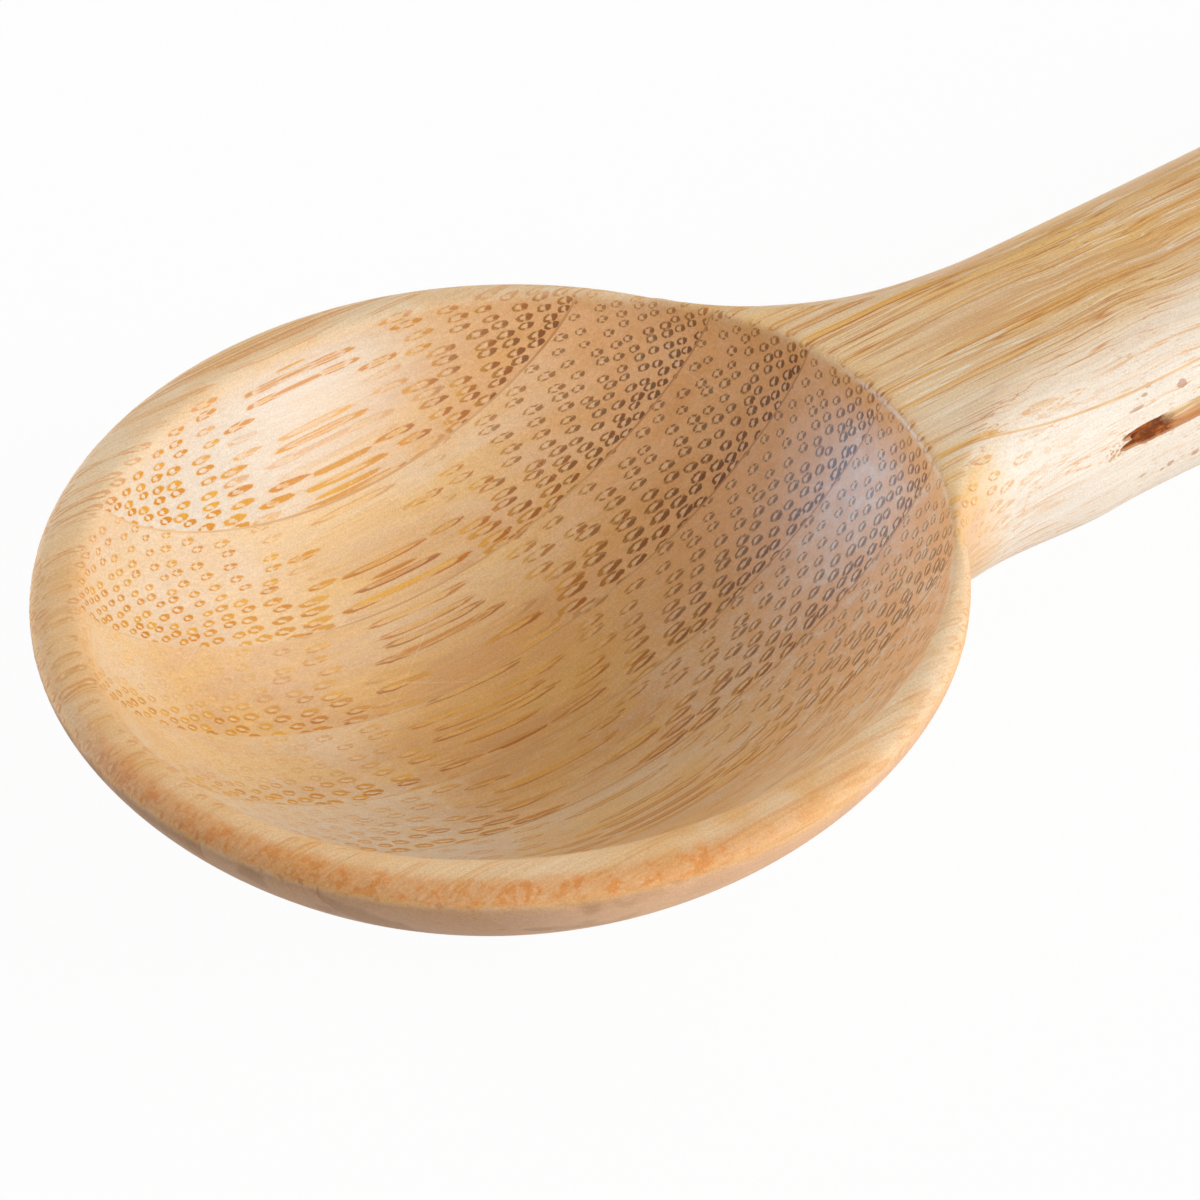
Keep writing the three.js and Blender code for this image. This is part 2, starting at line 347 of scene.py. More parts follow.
def groove_tool():
    """A ragged natural hollow along the grain: a trough that starts in three pointed splits."""
    bm = bmesh.new()
    trough_end = GROOVE_START + GROOVE_LENGTH - GROOVE_END_POINT
    # Start, end, rise above the groove's line, half height, length of the pointed end, depth
    hollows = (
        (46.4, trough_end, 0.03, GROOVE_WIDTH / 2 + 0.06, 1.3, 1.0),
        (44.1, 45.2, 0.48, 0.27, 1.6, 0.9),
        (44.2, 46.0, -0.08, 0.34, 2.0, 0.95),
        (45.2, 46.4, -0.36, 0.26, 1.2, 0.7),
    )
    for start, end, rise, half, point, depth in hollows:
        ball = bmesh.ops.create_uvsphere(bm, u_segments=HOLLOW_STEPS, v_segments=HOLLOW_STEPS // 2, radius=1)
        made = ball["verts"]
        bmesh.ops.scale(bm, vec=(point, depth, half), verts=made)
        tail = [v for v in made if v.co.x > TAIL_START]
        bmesh.ops.translate(bm, vec=(end - start, 0, 0), verts=tail)
        bmesh.ops.translate(bm, vec=(start, GROOVE_SURFACE_Y, GROOVE_Z + rise), verts=made)
    noise.seed_set(RAGGED_SEED)
    for vert in bm.verts:
        ragged = noise.noise_vector(vert.co * RAGGED_FINENESS) * RAGGED_DEPTH
        vert.co += Vector((ragged.x, 0, ragged.z))
    return piece_from("groove_tool", bm)


def finish_piece(piece, node, material):
    """Brings a piece from millimetres to its place in the frame and dresses it."""
    piece.data.transform(Matrix.Scale(MM, 4))
    piece.data.materials.clear()
    piece.data.materials.append(material)
    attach(piece, "root")
    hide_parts(node)


# Shader helpers

MIDDLE_GREY = (0.5, 0.5, 0.5)


class Shading:
    """Adds nodes to one tree. An input is a number, a colour, a vector or another node's output."""

    def __init__(self, tree):
        self.tree = tree

    def add(self, kind, inputs=None, **settings):
        node = self.tree.nodes.new(kind)
        for name, value in settings.items():
            setattr(node, name, value)
        for key, value in (inputs or {}).items():
            if isinstance(value, bpy.types.NodeSocket):
                self.tree.links.new(value, node.inputs[key])
            else:
                node.inputs[key].default_value = value
        return node

    def maths(self, operation, *values, clamp=False):
        inputs = dict(enumerate(values))
        return self.add("ShaderNodeMath", inputs, operation=operation, use_clamp=clamp).outputs[0]

    def times(self, first, *others):
        """The product of two or more values."""
        product = first
        for value in others:
            product = self.maths("MULTIPLY", product, value)
        return product

    def plus(self, first, second):
        return self.maths("ADD", first, second)

    def minus(self, first, second):
        return self.maths("SUBTRACT", first, second)

    def larger(self, first, second):
        return self.maths("MAXIMUM", first, second)

    def vector(self, operation, *values):
        inputs = dict(enumerate(values))
        return self.add("ShaderNodeVectorMath", inputs, operation=operation).outputs[0]

    def length(self, vector):
        return self.add("ShaderNodeVectorMath", {0: vector}, operation="LENGTH").outputs["Value"]

    def parts(self, vector):
        return self.add("ShaderNodeSeparateXYZ", {0: vector}).outputs[:3]

    def joined(self, x, y, z):
        return self.add("ShaderNodeCombineXYZ", {0: x, 1: y, 2: z}).outputs[0]

    def ramp(self, value, low, high, start=0.0, end=1.0, kind="SMOOTHSTEP"):
        inputs = {0: value, 1: low, 2: high, 3: start, 4: end}
        return self.add("ShaderNodeMapRange", inputs, interpolation_type=kind).outputs[0]

    def band(self, value, low, high, soft):
        """One between low and high, fading to nothing over soft on both sides."""
        rise = self.ramp(value, low - soft, low)
        fall = self.ramp(value, high, high + soft, 1.0, 0.0)
        return self.times(rise, fall)

    def noise(self, place, fineness, detail=2.0, roughness=0.5):
        """Noise whose changes per millimetre along each axis are set by fineness."""
        waves = self.vector("MULTIPLY", place, fineness)
        inputs = {"Vector": waves, "Scale": 1.0, "Detail": detail, "Roughness": roughness}
        return self.add("ShaderNodeTexNoise", inputs).outputs

    def sway(self, place, fineness, reach):
        """A slow shift to either side, by up to half of reach."""
        swing = self.vector("SUBTRACT", self.noise(place, fineness, detail=1.0)["Color"], MIDDLE_GREY)
        return self.vector("MULTIPLY", swing, reach)

    def cells(self, place, scatter=1.0):
        """Cells round points that are scattered over the plane of the first two coordinates."""
        inputs = {"Vector": place, "Scale": 1.0, "Randomness": scatter}
        return self.add("ShaderNodeTexVoronoi", inputs, voronoi_dimensions="2D").outputs

    def blend(self, factor, first, second, mode="MIX"):
        inputs = {0: factor, 6: first, 7: second}
        return self.add("ShaderNodeMix", inputs, data_type="RGBA", blend_type=mode).outputs[2]

    def blend_number(self, factor, first, second):
        return self.add("ShaderNodeMix", {0: factor, 2: first, 3: second}, data_type="FLOAT").outputs[0]

    def object_place(self):
        """Place on the object in millimetres."""
        coordinates = self.add("ShaderNodeTexCoord").outputs["Object"]
        return self.vector("MULTIPLY", coordinates, (1 / MM, 1 / MM, 1 / MM))


def new_group(name, inputs, outputs):
    tree = bpy.data.node_groups.new(name, "ShaderNodeTree")
    for label, kind in inputs.items():
        tree.interface.new_socket(name=label, in_out="INPUT", socket_type="NodeSocket" + kind)
    for label, kind in outputs.items():
        tree.interface.new_socket(name=label, in_out="OUTPUT", socket_type="NodeSocket" + kind)
    given = tree.nodes.new("NodeGroupInput").outputs
    result = tree.nodes.new("NodeGroupOutput").inputs
    return tree, Shading(tree), given, result


def colour(red, green, blue):
    """A colour as it shows on a screen, from 0 to 255, as the linear colour of a socket."""
    shares = [value / 255 for value in (red, green, blue)]
    linear = [s / 12.92 if s <= 0.04045 else ((s + 0.055) / 1.055) ** 2.4 for s in shares]
    return (*linear, 1.0)


# Bamboo grain

DENSE_GAP = 0.80
SPARSE_GAP = 1.08
GAP_RATE = math.log(SPARSE_GAP / DENSE_GAP) / STRIP_THICKNESS
GAP_SCALE = 1 / (GAP_RATE * DENSE_GAP)
BUNDLE_TILT = math.radians(-27)
BUNDLE_RADIUS_DENSE = 0.345
BUNDLE_RADIUS_SPARSE = 0.32
BUNDLE_SLIMNESS = 0.95
BUNDLE_SCATTER = 0.42
BUNDLE_SMALLEST = 0.86
BUNDLE_LARGEST = 1.08
FAR_BUNDLE_SIZE = 0.88
NEVER_ZERO = 1e-5
SEED_STEP = 1.7
SEED_SPREAD = 61.0
FIBRE_SEED_SPREAD = 17.0

# Fibre caps, in bundle radii
RING_RADIUS = 0.71
CAP_THICKNESS = 0.16
DENSE_CAP_GAIN = 0.05
THICK_CAP_GAIN = 0.22
THICK_CAP_SHIFT = 0.10
STROKE_GAIN = 1.1
CAP_RAGGEDNESS = 0.15

# How the grain wanders, and how it bends at the culm's node
DRIFT_FINENESS = (0.045, 0.11, 0.11)
DRIFT_REACH = (0, 1.1, 0.7)
BEND_FINENESS = (0.13, 0.08, 0.08)
BEND_REACH = (0, 1.8, 0.9)

# The culm's node in the handle, along the grain
NODE_START = 47
NODE_END = 53
NODE_SOFTNESS = 5
FLECKS_START = 45.0
FLECKS_END = 49.5
FLECKS_SOFTNESS = 2.0
FLECK_SCATTER = 0.95

# Scratches: the turn in radians and the shift of each direction
SCRATCH_DIRECTIONS = ((0.45, 3.0), (-0.65, 11.0), (1.25, 23.0))
SCRATCH_FINENESS = (0.13, 14.0, 0.0)


def bundle_group():
    """Vascular bundles: cylinders along the grain, each with fibre caps round a pale core.

    They stand closer together towards the near face of a strip, the outside of the culm.
    There the caps join into a thick near cap and a far crescent.
    On the other side they are four small spots.
    """
    tree, kit, given, result = new_group(
        "bamboo_bundles",
        {"Place": "Vector", "Near Face": "Float", "Seed": "Float", "Fineness": "Float",
         "Along Grain": "Float", "Far Cap": "Float"},
        {"Caps": "Float", "Halo": "Float", "Core": "Float", "Share": "Float", "Chance": "Float",
         "Rank": "Float", "Turn": "Float", "Bent": "Vector"},
    )
    place = given["Place"]
    x, _, _ = kit.parts(place)
    drift = kit.sway(place, DRIFT_FINENESS, DRIFT_REACH)
    bend = kit.sway(place, BEND_FINENESS, BEND_REACH)
    at_node = kit.band(x, NODE_START, NODE_END, NODE_SOFTNESS)
    bend = kit.add("ShaderNodeVectorMath", {0: bend, "Scale": at_node}, operation="SCALE").outputs[0]
    bent = kit.vector("ADD", kit.vector("ADD", place, drift), bend)
    tree.links.new(bent, result["Bent"])
    _, y, z = kit.parts(bent)

    depth = kit.minus(y, given["Near Face"])
    share = kit.maths("DIVIDE", depth, STRIP_THICKNESS, clamp=True)
    depth = kit.times(depth, given["Fineness"])
    z = kit.times(z, given["Fineness"])
    reach = kit.times(kit.maths("EXPONENT", kit.times(depth, -GAP_RATE)), GAP_SCALE)
    angle = kit.times(z, GAP_RATE)
    cosine = kit.maths("COSINE", angle)
    sine = kit.maths("SINE", angle)
    spread = kit.joined(kit.times(reach, cosine), kit.times(reach, sine), 0.0)
    seed_shift = kit.joined(kit.times(given["Seed"], SEED_SPREAD), given["Seed"], 0.0)
    seeded = kit.vector("ADD", spread, seed_shift)
    cells = kit.cells(seeded, BUNDLE_SCATTER)
    off_a, off_b, _ = kit.parts(kit.vector("SUBTRACT", seeded, cells["Position"]))
    chance, size_chance, rank = kit.parts(cells["Color"])

    # Offset from the bundle's middle, turned to its own axes and measured in bundle radii
    bundle_radius = kit.ramp(share, 0.0, 1.0, BUNDLE_RADIUS_DENSE, BUNDLE_RADIUS_SPARSE, "LINEAR")
    uneven = kit.ramp(size_chance, 0.0, 1.0, BUNDLE_SMALLEST, BUNDLE_LARGEST, "LINEAR")
    far_size = kit.ramp(given["Far Cap"], 0.0, 1.0, 1.0, FAR_BUNDLE_SIZE)
    unit = kit.times(reach, GAP_RATE, bundle_radius, uneven, far_size)
    inward = kit.plus(kit.times(off_a, cosine), kit.times(off_b, sine))
    rise = kit.minus(kit.times(off_b, cosine), kit.times(off_a, sine))
    far = kit.minus(kit.times(rise, math.sin(BUNDLE_TILT)), kit.times(inward, math.cos(BUNDLE_TILT)))
    across = kit.plus(kit.times(rise, math.cos(BUNDLE_TILT)), kit.times(inward, math.sin(BUNDLE_TILT)))
    far = kit.maths("DIVIDE", far, unit)
    across = kit.times(kit.maths("DIVIDE", across, unit), BUNDLE_SLIMNESS)
    squares = kit.plus(kit.times(far, far), kit.maths("MULTIPLY_ADD", across, across, NEVER_ZERO))
    radius = kit.maths("SQRT", squares)
    facing = kit.maths("DIVIDE", far, radius)
    ragged = kit.noise(place, (0.5, 5.5, 5.5), detail=1.0)[0]
    radius = kit.plus(radius, kit.ramp(ragged, 0.2, 0.8, -CAP_RAGGEDNESS, CAP_RAGGEDNESS, "LINEAR"))

    dense = kit.ramp(share, 0.05, 0.75, 1.0, 0.0)
    thick_side = kit.maths("MULTIPLY_ADD", given["Far Cap"], 2.0, -1.0)
    thick_side = kit.larger(kit.times(facing, thick_side), 0.0)
    thick_cap = kit.times(thick_side, thick_side)
    thickness = kit.maths("MULTIPLY_ADD", dense, DENSE_CAP_GAIN, CAP_THICKNESS)
    thickness = kit.maths("MULTIPLY_ADD", thick_cap, THICK_CAP_GAIN, thickness)
    thickness = kit.times(thickness, kit.ramp(given["Along Grain"], 0.0, 1.0, 1.0, STROKE_GAIN))
    ring_radius = kit.maths("MULTIPLY_ADD", thick_cap, -THICK_CAP_SHIFT, RING_RADIUS)
    from_ring = kit.maths("ABSOLUTE", kit.minus(radius, ring_radius))
    ring = kit.ramp(kit.minus(from_ring, thickness), -0.07, 0.05, 1.0, 0.0)
    halo = kit.ramp(kit.minus(from_ring, thickness), -0.1, 0.42, 1.0, 0.0)
    split = kit.ramp(kit.maths("ABSOLUTE", kit.plus(facing, 0.14)), 0.10, 0.38, 0.15, 1.0)
    from_corner = kit.maths("ABSOLUTE", kit.minus(kit.maths("ABSOLUTE", facing), 0.58))
    four = kit.ramp(from_corner, 0.04, 0.28, 0.05, 1.0)
    lobes = kit.plus(kit.times(split, dense), kit.times(four, kit.minus(1.0, dense)))
    strength = kit.ramp(chance, 0.0, 1.0, 0.85, 1.0, "LINEAR")

    tree.links.new(kit.times(ring, lobes, strength), result["Caps"])
    tree.links.new(kit.times(halo, strength), result["Halo"])
    tree.links.new(kit.ramp(radius, 0.25, 0.5, 1.0, 0.0), result["Core"])
    tree.links.new(share, result["Share"])
    tree.links.new(chance, result["Chance"])
    tree.links.new(rank, result["Rank"])
    tree.links.new(kit.ramp(facing, -0.7, 0.7), result["Turn"])
    return tree


def fibre_group():
    """Fine fibres and thin lines along the grain, slow changes of tone, and a dusty speckle."""
    tree, kit, given, result = new_group(
        "bamboo_fibres",
        {"Place": "Vector", "Seed": "Float"},
        {"Fibre": "Float", "Tone": "Float", "Gold": "Float", "Speckle": "Float",
         "Pale Line": "Float", "Dark Line": "Float", "Veil": "Float", "Blotch": "Float"},
    )
    shift = kit.joined(0.0, kit.times(given["Seed"], FIBRE_SEED_SPREAD), 0.0)
    place = kit.vector("ADD", given["Place"], shift)
    fine = kit.noise(place, (0.09, 4.6, 4.6), detail=3.0, roughness=0.6)[0]
    tone = kit.noise(place, (0.03, 0.16, 0.16), detail=2.0)[0]
    gold = kit.noise(place, (0.07, 0.4, 0.4), detail=3.0, roughness=0.6)[0]
    speckle = kit.noise(place, (8.0, 8.0, 8.0), detail=2.0, roughness=0.7)[0]
    tree.links.new(fine, result["Fibre"])
    tree.links.new(tone, result["Tone"])
    tree.links.new(gold, result["Gold"])
    tree.links.new(speckle, result["Speckle"])
    strands = kit.noise(place, (0.045, 1.9, 1.9), detail=2.0, roughness=0.6)[0]
    for label, level in (("Pale Line", 0.44), ("Dark Line", 0.54)):
        off = kit.maths("ABSOLUTE", kit.minus(strands, level))
        tree.links.new(kit.ramp(off, 0.0, 0.035, 1.0, 0.0), result[label])
    veil = kit.noise(place, (0.8, 1.1, 1.1), detail=4.0, roughness=0.65)[0]
    blotch = kit.noise(place, (0.24, 0.24, 0.24), detail=2.0)[0]
    tree.links.new(kit.ramp(veil, 0.45, 0.7), result["Veil"])
    tree.links.new(kit.ramp(blotch, 0.38, 0.62), result["Blotch"])
    return tree


def scratch_group():
    """Thin straight scratches from use, in three directions across the bowl."""
    tree, kit, given, result = new_group("fine_scratches", {"Place": "Vector"}, {"Scratch": "Float"})
    lines = 0.0
    for turn, shift in SCRATCH_DIRECTIONS:
        turned = kit.add("ShaderNodeMapping", {"Vector": given["Place"], "Rotation": (0, 0, turn),
                                               "Location": (shift, shift, 0)}).outputs[0]
        cells = kit.cells(kit.vector("MULTIPLY", turned, SCRATCH_FINENESS))
        chance, faintness, _ = kit.parts(cells["Color"])
        line = kit.times(kit.ramp(chance, 0.993, 0.995), kit.ramp(faintness, 0.0, 1.0, 0.4, 1.0))
        lines = kit.larger(lines, line)
    tree.links.new(lines, result["Scratch"])
    return tree


KEY_LIT_CREAM = colour(241, 230, 215)
KEY_LIT_PALE_GROUND = colour(236, 223, 206)
RIM_GROUND = colour(240, 186, 120)
RIM_CREAM = colour(248, 222, 186)
RIM_TAN = colour(246, 208, 162)
RIM_CAP = colour(222, 140, 66)
EDGE_ORANGE_AND_SHADE = colour(234, 154, 78)
SHADED_END_DARK = colour(218, 142, 76)
VEIL = colour(240, 220, 196)
PALE_STREAK = colour(252, 238, 212)
DARK_STREAK = colour(204, 126, 58)
PALE_GROUND = colour(250, 226, 190)
TAN_GROUND = colour(228, 173, 112)
GOLD_GROUND = colour(246, 198, 118)
SHADED_END_GROUND = colour(242, 180, 118)
OUTER_GROUND = colour(238, 190, 152)
OUTER_BLOTCH_AND_SHADE = colour(152, 104, 74)
GOLD_CAP = colour(244, 186, 84)
ORANGE_CAP = colour(212, 132, 50)
UMBER_CAP = colour(170, 90, 36)
SHADED_BROWN_CAP = colour(92, 48, 24)
SHADED_CHESTNUT_CAP = colour(134, 76, 38)
KEY_LIT_CAP = colour(216, 138, 28)
KEY_LIT_YELLOW_CAP = colour(234, 172, 54)
FLANK_CAP = colour(228, 160, 68)
FLANK_RING = colour(218, 148, 38)
HALO = colour(240, 182, 100)
PALE_CORE = colour(244, 222, 188)
GOLD_CORE = colour(240, 188, 98)
SCRATCH_COLOUR = colour(246, 230, 205)
FLECK_COLOUR = colour(216, 142, 72)
SCAR_COLOUR = colour(176, 112, 76)
SOOT_AND_DEEP_SHADE = colour(84, 40, 16)
BURNT_AND_LIP_SHADOW = colour(146, 76, 30)
RUST = colour(212, 122, 50)
GROOVE_ORANGE = colour(220, 130, 52)
GROOVE_TAN = colour(240, 218, 180)
GROOVE_BROWN = colour(214, 182, 136)
CRUMB_TAN = colour(206, 160, 108)
CRUMB_PALE = colour(252, 240, 220)
GLUE_PALE = colour(238, 200, 152)
GLUE_BROWN = colour(218, 166, 110)
GLUE_PAINTED_SHADE = colour(200, 138, 84)
WORN_ROUGHNESS = 0.66
GROOVE_ROUGHNESS = 0.9
BUMP_STRENGTH = 0.3
BUMP_DEPTH = 0.04 * MM

# Knots of scar at the culm's node on the near side: place along the grain, height, half length, half height
NODE_SCARS = (
    (48.7, 15.4, 0.42, 0.26),
    (46.0, 16.2, 0.35, 0.14),
    (45.4, 15.8, 0.30, 0.12),
    (44.5, 15.3, 0.80, 0.10),
    (49.9, 9.5, 0.40, 0.28),
    (47.5, 9.7, 0.34, 0.24),
    (46.8, 9.5, 0.26, 0.12),
    (44.7, 10.0, 0.50, 0.10),
)

# Each strip from the far side to the near side: its tone, from pale 0 to tan 1, the strength of its bundles
# and their fineness, on the wall at the tip how far the sparse ones fade, and on walls facing the key light
# how pale the ground turns, a painted highlight
STRIP_LOOKS = (
    (0.50, 1.0, 1.2, 0.0, 0.9),
    (0.45, 1.0, 1.2, 0.0, 0.9),
    (0.52, 1.0, 1.2, 0.1, 0.35),
    (0.60, 1.0, 1.0, 0.8, 0.0),
    (0.58, 0.95, 1.0, 0.75, 0.0),
    (0.52, 0.95, 1.0, 0.6, 0.0),
    (0.52, 0.8, 1.0, 0.5, 0.0),
    (0.60, 0.6, 1.0, 0.4, 0.0),
    (0.55, 0.5, 1.0, 0.4, 0.0),
)


def place_group(kit, group, **inputs):
    node = kit.add("ShaderNodeGroup", node_tree=group)
    for label, value in inputs.items():
        socket = node.inputs[label.replace("_", " ")]
        if isinstance(value, bpy.types.NodeSocket):
            kit.tree.links.new(value, socket)
        else:
            socket.default_value = value
    return node.outputs


def new_material(name):
    material = bpy.data.materials.new(name)
    material.use_nodes = True
    return material, Shading(material.node_tree), material.node_tree.nodes["Principled BSDF"].inputs


def zone_group():
    """Where on the carved form a place lies and which way it faces, as masks."""
    tree, kit, given, result = new_group(
        "carved_zones",
        {"Place": "Vector", "Facing": "Vector"},
        {"Along Grain": "Float", "Tip Wall": "Float", "Key Lit Wall": "Float", "End Wall": "Float",
         "Far Cap": "Float", "Bowl": "Float", "Rim": "Float", "Outer Edge": "Float", "Outside": "Float",
         "Flank": "Float", "Handle Top": "Float"},
    )
    x, y, _ = kit.parts(given["Place"])
    facing_x, facing_y, facing_z = kit.parts(given["Facing"])
    across_bowl = kit.joined(kit.maths("DIVIDE", x, HALF_LENGTH), kit.maths("DIVIDE", y, HALF_WIDTH), 0.0)
    reach = kit.length(across_bowl)
    bowl = kit.times(kit.ramp(reach, 0.98, 1.02, 1.0, 0.0), kit.ramp(facing_z, -0.05, 0.08))
    before_neck = kit.ramp(x, 20, 26, 1.0, 0.0)
    rim = kit.times(kit.band(reach, 1.01, 1.13, 0.05), kit.ramp(facing_z, 0.3, 0.7), before_neck)
    off_centre = kit.minus(x, OUTER_CENTRE_X)
    across_rim = kit.joined(kit.maths("DIVIDE", off_centre, OUTER_HALF_LENGTH),
                            kit.maths("DIVIDE", y, OUTER_HALF_WIDTH), 0.0)
    rim_reach = kit.length(across_rim)
    outer_edge = kit.times(kit.ramp(rim_reach, 0.935, 0.965), kit.ramp(facing_z, 0.05, 0.6),
                           kit.ramp(x, -8, 6, 1.0, 0.1), kit.ramp(x, 16, 22, 1.0, 0.0),
                           kit.ramp(y, -4, 6, 1.0, 0.0))
    outside = kit.times(kit.ramp(facing_z, -0.15, 0.6, 1.0, 0.0), kit.ramp(x, 24, 32, 1.0, 0.0),
                        kit.minus(1.0, bowl))
    along_grain = kit.ramp(kit.maths("ABSOLUTE", facing_x), 0.10, 0.35, 1.0, 0.0)
    # How much a surface faces the key light across the floor plan; bowl walls that face it are painted pale,
    # a painted highlight
    towards_key = kit.maths("MULTIPLY_ADD", facing_x, 0.6, kit.times(facing_y, -0.8))
    flank = kit.times(kit.ramp(facing_y, -0.75, -0.04, 1.0, 0.0), kit.ramp(x, 27, 33))
    handle_top = kit.times(kit.ramp(x, 25, 31), kit.ramp(facing_z, 0.8, 0.95))
    tree.links.new(along_grain, result["Along Grain"])
    tree.links.new(kit.times(kit.ramp(facing_x, 0.12, 0.55), bowl), result["Tip Wall"])
    tree.links.new(kit.times(kit.ramp(towards_key, 0.35, 0.75), bowl), result["Key Lit Wall"])
    tree.links.new(kit.times(kit.ramp(facing_x, -0.60, -0.10, 1.0, 0.0), bowl), result["End Wall"])
    tree.links.new(kit.ramp(facing_x, -0.35, 0.1), result["Far Cap"])
    tree.links.new(bowl, result["Bowl"])
    tree.links.new(rim, result["Rim"])
    tree.links.new(outer_edge, result["Outer Edge"])
    tree.links.new(outside, result["Outside"])
    tree.links.new(flank, result["Flank"])
    tree.links.new(handle_top, result["Handle Top"])
    return tree


def fleck_group():
    """Short brown strokes and a few round scars where the culm has its node."""
    tree, kit, given, result = new_group(
        "node_flecks", {"Place": "Vector", "Flank": "Float"}, {"Fleck": "Float", "Scar": "Float"})
    x, y, z = kit.parts(given["Place"])
    round_the_handle = kit.plus(y, z)
    strokes = kit.joined(kit.times(x, 0.8), kit.times(round_the_handle, 2.6), 0.0)
    cells = kit.cells(strokes, FLECK_SCATTER)
    size, chance, _ = kit.parts(cells["Color"])
    reach = kit.ramp(size, 0.0, 1.0, 0.06, 0.26, "LINEAR")
    stroke = kit.ramp(kit.minus(cells["Distance"], reach), -0.14, 0.02, 1.0, 0.0)
    stroke = kit.times(stroke, kit.ramp(chance, 0.4, 0.5))
    ragged = kit.noise(given["Place"], (2.5, 4.0, 4.0), detail=2.0)[0]
    scar = 0.0
    for scar_x, scar_z, half_length, half_height in NODE_SCARS:
        along = kit.maths("DIVIDE", kit.minus(x, scar_x), half_length)
        up = kit.maths("DIVIDE", kit.minus(z, scar_z), half_height)
        spot = kit.plus(kit.times(along, along), kit.times(up, up))
        spot = kit.plus(spot, kit.ramp(ragged, 0.3, 0.7, -0.5, 0.5, "LINEAR"))
        scar = kit.larger(scar, kit.ramp(spot, 0.5, 1.3, 1.0, 0.0))
    here = kit.band(x, FLECKS_START, FLECKS_END, FLECKS_SOFTNESS)
    tree.links.new(kit.times(stroke, here), result["Fleck"])
    tree.links.new(kit.times(scar, given["Flank"]), result["Scar"])
    return tree


def add_groove_colours(kit, place, base):
    """Burnt brown at the groove's ragged start, darker deeper in as painted shade, then tan with a painted
    shadow along the upper edge and an orange lower edge.
    """
    x, y, z = kit.parts(place)
    rise = kit.minus(z, GROOVE_Z)
    surface_y = kit.maths("MULTIPLY_ADD", rise, GROOVE_SURFACE_TILT, GROOVE_SURFACE_Y)
    surface_y = kit.minus(surface_y, kit.ramp(x, 50, 77, 0.0, 0.68, "LINEAR"))
    depth = kit.minus(y, surface_y)
    along = kit.band(x, GROOVE_START, GROOVE_START + GROOVE_LENGTH, 0.3)
    around = kit.times(along, kit.band(rise, -0.75, 0.8, 0.2))
    inside = kit.times(kit.ramp(depth, 0.08, 0.24), around)
    rough = kit.noise(place, (1.2, 3.0, 4.0), detail=3.0, roughness=0.65)[0]
    start = kit.ramp(kit.maths("MULTIPLY_ADD", rough, 3.0, x), 48.2, 50.2, 1.0, 0.0)
    streak = kit.noise(place, (0.35, 6.0, 6.0), detail=2.0, roughness=0.6)[0]
    tan = kit.blend(kit.ramp(streak, 0.38, 0.62), GROOVE_TAN, GROOVE_BROWN)
    tan = kit.blend(kit.ramp(rise, -0.66, -0.44, 0.65, 0.0), tan, GROOVE_ORANGE)
    # Painted shadow under the groove's overhanging upper edge
    tan = kit.blend(kit.ramp(rise, 0.30, 0.52, 0.0, 0.65), tan, BURNT_AND_LIP_SHADOW)
    burnt = kit.blend(kit.ramp(rough, 0.42, 0.66), BURNT_AND_LIP_SHADOW, RUST)
    # Deeper in the burnt start the colour darkens further: painted shade in the recess
    burnt = kit.blend(kit.ramp(depth, 0.45, 0.9, 0.0, 0.6), burnt, SOOT_AND_DEEP_SHADE)
    inner = kit.blend(start, tan, burnt)
    base = kit.blend(inside, base, inner)
    lip = kit.times(kit.ramp(depth, 0.01, 0.09), kit.ramp(depth, 0.09, 0.22, 1.0, 0.0), around)
    lower_lip = kit.times(lip, kit.ramp(rise, -0.1, 0.1, 0.8, 0.0))
    base = kit.blend(lower_lip, base, GROOVE_ORANGE)
    crumbs = kit.times(kit.band(x, 41.2, 42.4, 0.5), kit.band(rise, -0.35, 0.4, 0.25))
    grit = kit.noise(place, (3.5, 3.5, 5.0), detail=2.0, roughness=0.6)[0]
    base = kit.blend(kit.times(crumbs, kit.ramp(grit, 0.5, 0.62)), base, CRUMB_TAN)
    base = kit.blend(kit.times(crumbs, kit.ramp(grit, 0.40, 0.30)), base, CRUMB_PALE)
    return base, inside


def add_rim_colours(kit, place, zones, blotch, broken, ground):
    """Orange and cream blotches on the rim, an orange outer edge that is partly painted shade, and a dusky
    outside of the bowl, blotched and with painted shade growing towards the tip.
    """
    x, y, _ = kit.parts(place)
    paler = kit.larger(kit.ramp(x, -2.0, 14.0), kit.ramp(y, 14.0, 22.0))
    paleness = kit.larger(paler, kit.ramp(y, -18.0, -8.0, 0.55, 0.3))
    rim_ground = kit.blend(paler, RIM_GROUND, RIM_TAN)
    aside = kit.ramp(kit.maths("ABSOLUTE", y), 14.0, 20.0, 0.0, 0.6)
    beside_tip = kit.times(aside, kit.ramp(x, -16.0, -5.0, 1.0, 0.0))
    creamy = kit.larger(kit.times(blotch, paleness), beside_tip)
    rim_ground = kit.blend(creamy, rim_ground, RIM_CREAM)
    # Darker outside of the bowl: random blotches, and painted shade growing towards the tip, the side that
    # faces away from the key light
    blotches_and_tip_shade = kit.larger(blotch, kit.ramp(x, -20.0, -8.0, 0.7, 0.0))
    blotch_and_shade_amount = kit.times(blotches_and_tip_shade, kit.ramp(x, -20.0, -4.0, 0.9, 0.1))
    outer_ground = kit.blend(blotch_and_shade_amount, OUTER_GROUND, OUTER_BLOTCH_AND_SHADE)
    for zone, amount, paint in (("Rim", 0.8, rim_ground), ("Outside", 0.8, outer_ground)):
        ground = kit.blend(kit.times(zones[zone], amount), ground, paint)
    # Orange band along the rim's rounded outer edge: partly the wood's own colour, partly painted shade
    # where the edge turns from the lit outer wall to the top
    edge_amount = kit.times(zones["Outer Edge"], kit.ramp(broken, 0.0, 0.6, 0.55, 1.0))
    return kit.blend(edge_amount, ground, EDGE_ORANGE_AND_SHADE)


